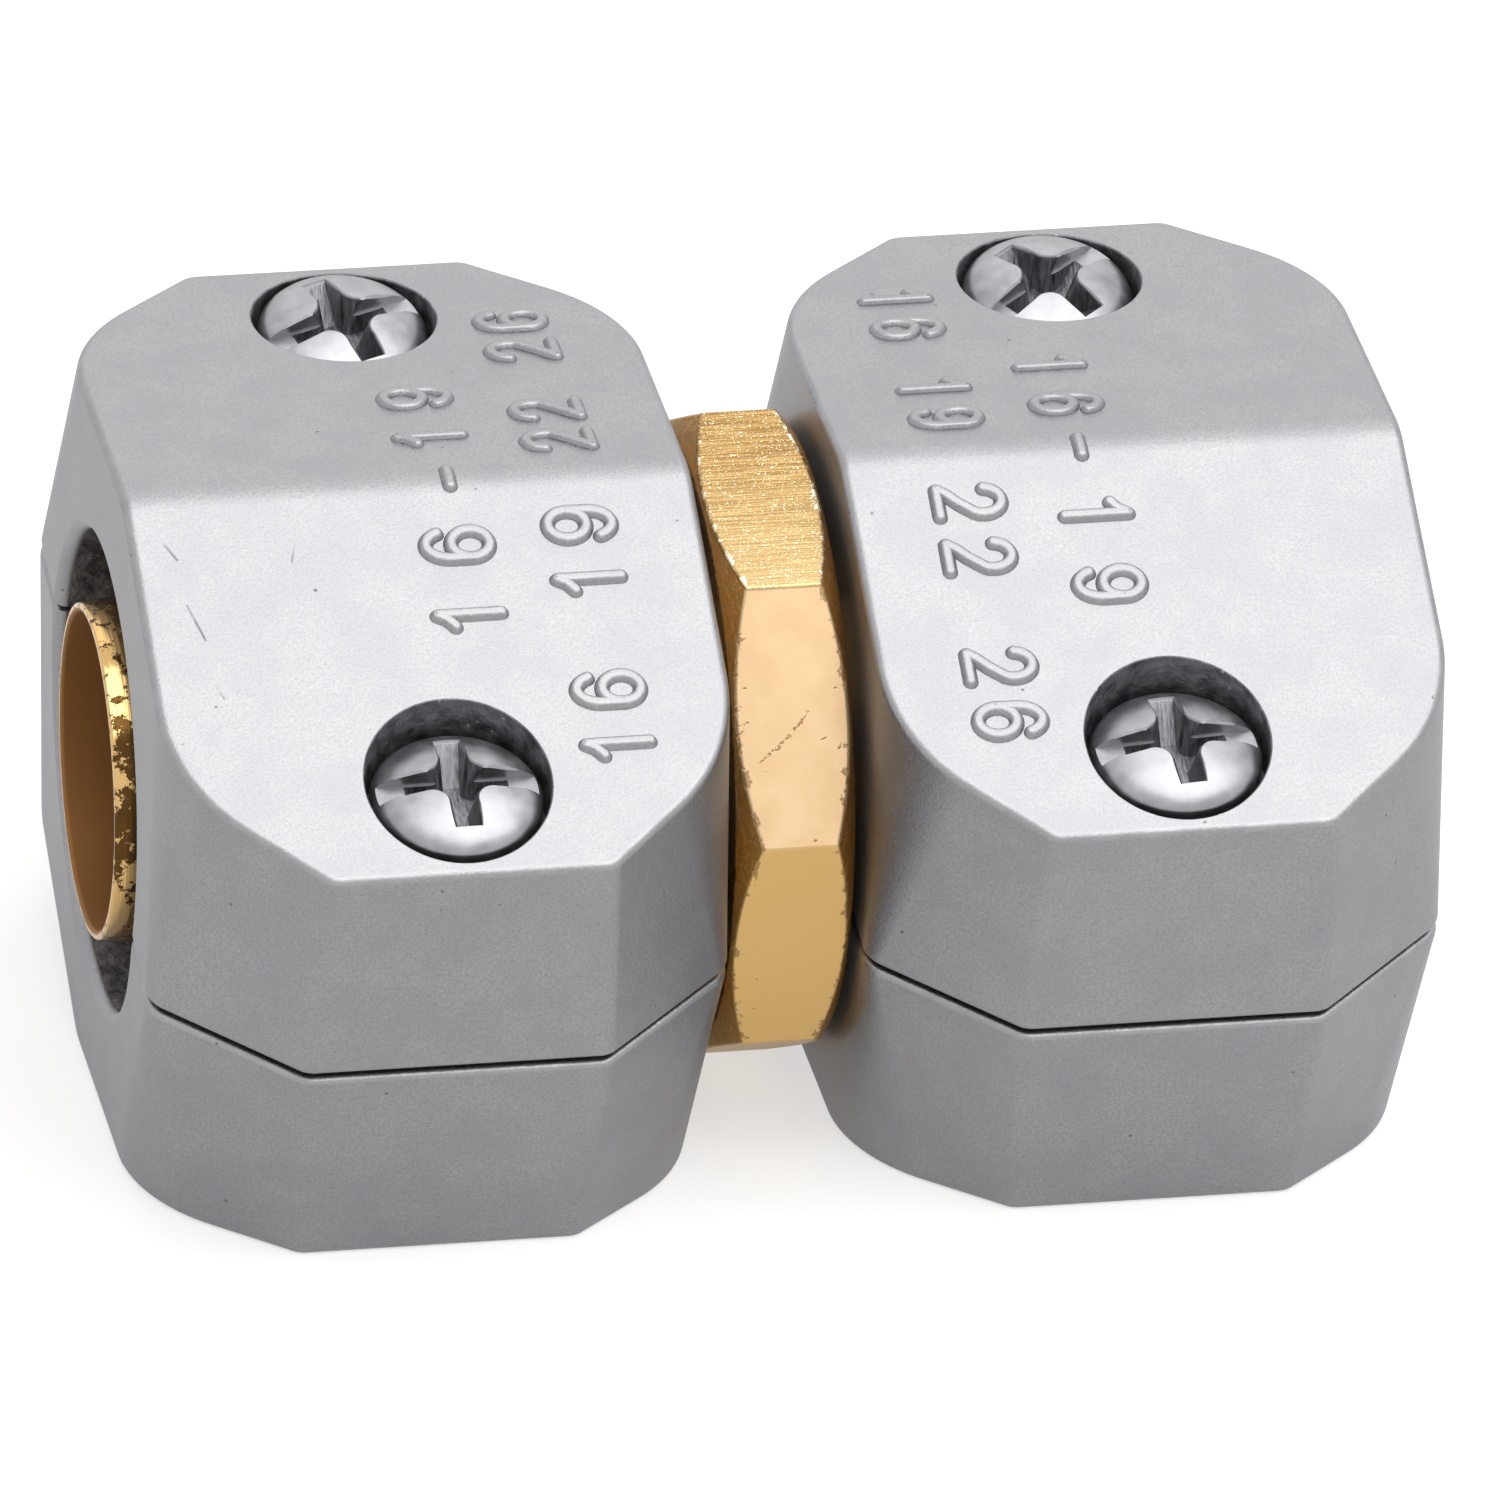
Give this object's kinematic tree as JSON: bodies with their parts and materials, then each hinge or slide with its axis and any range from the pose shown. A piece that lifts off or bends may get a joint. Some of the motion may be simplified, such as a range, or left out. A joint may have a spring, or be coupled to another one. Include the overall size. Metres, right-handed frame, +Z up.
{
  "type": "hose mender",
  "caption": "Garden hose mender: brass barbed fitting with an octagonal wrench collar, and a screwed die-cast metal clamp over each barbed end that grips the hose.",
  "frame": {"origin": "centre of the fitting, on its bore and halfway along it", "axes": "+X along the bore to the right end, +Z up as the mender lies on a table, -Y towards the side that its screw heads lean to"},
  "size_m": [0.0606, 0.0458, 0.0332],
  "materials": {
    "brass": "polished",
    "zinc_casting": "satin",
    "plated_screw": "gloss"
  },
  "bodies": {
    "barb_fitting": {"barb_fitting": "brass"},
    "left_lower_shell": {"left_lower_shell": "zinc_casting"},
    "left_upper_shell": {"left_upper_shell": "zinc_casting"},
    "left_front_screw": {"left_front_screw": "plated_screw"},
    "left_back_screw": {"left_back_screw": "plated_screw"},
    "right_lower_shell": {"right_lower_shell": "zinc_casting"},
    "right_upper_shell": {"right_upper_shell": "zinc_casting"},
    "right_front_screw": {"right_front_screw": "plated_screw"},
    "right_back_screw": {"right_back_screw": "plated_screw"}
  },
  "joints": [
    {"name": "left_clamp_turn", "type": "hinge", "parent": "barb_fitting", "child": "left_lower_shell", "pos_m": [-0.0166, 0, 0], "axis": [1, 0, 0], "continuous": true},
    {"name": "left_clamp_open", "type": "slide", "parent": "left_lower_shell", "child": "left_upper_shell", "axis": [0, -0.2453, 0.9694], "range_m": [0, 0.0049]},
    {"name": "left_front_screw_turn", "type": "hinge", "parent": "left_upper_shell", "child": "left_front_screw", "pos_m": [-0.0166, -0.01797, 0.00618], "axis": [0, -0.2453, 0.9694], "range_deg": [0, 2520]},
    {"name": "left_back_screw_turn", "type": "hinge", "parent": "left_upper_shell", "child": "left_back_screw", "pos_m": [-0.0166, 0.01286, 0.01398], "axis": [0, -0.2453, 0.9694], "range_deg": [0, 2520]},
    {"name": "right_clamp_turn", "type": "hinge", "parent": "barb_fitting", "child": "right_lower_shell", "pos_m": [0.0166, 0, 0], "axis": [1, 0, 0], "continuous": true},
    {"name": "right_clamp_open", "type": "slide", "parent": "right_lower_shell", "child": "right_upper_shell", "axis": [0, -0.2453, 0.9694], "range_m": [0, 0.0049]},
    {"name": "right_front_screw_turn", "type": "hinge", "parent": "right_upper_shell", "child": "right_front_screw", "pos_m": [0.0166, -0.01797, 0.00618], "axis": [0, -0.2453, 0.9694], "range_deg": [0, 2520]},
    {"name": "right_back_screw_turn", "type": "hinge", "parent": "right_upper_shell", "child": "right_back_screw", "pos_m": [0.0166, 0.01286, 0.01398], "axis": [0, -0.2453, 0.9694], "range_deg": [0, 2520]}
  ],
  "couplings": [
    {"joint": "left_front_screw_turn", "follows": "left_clamp_open", "rad_per_m": 8976},
    {"joint": "left_back_screw_turn", "follows": "left_clamp_open", "rad_per_m": 8976},
    {"joint": "right_front_screw_turn", "follows": "right_clamp_open", "rad_per_m": 8976},
    {"joint": "right_back_screw_turn", "follows": "right_clamp_open", "rad_per_m": 8976}
  ]
}
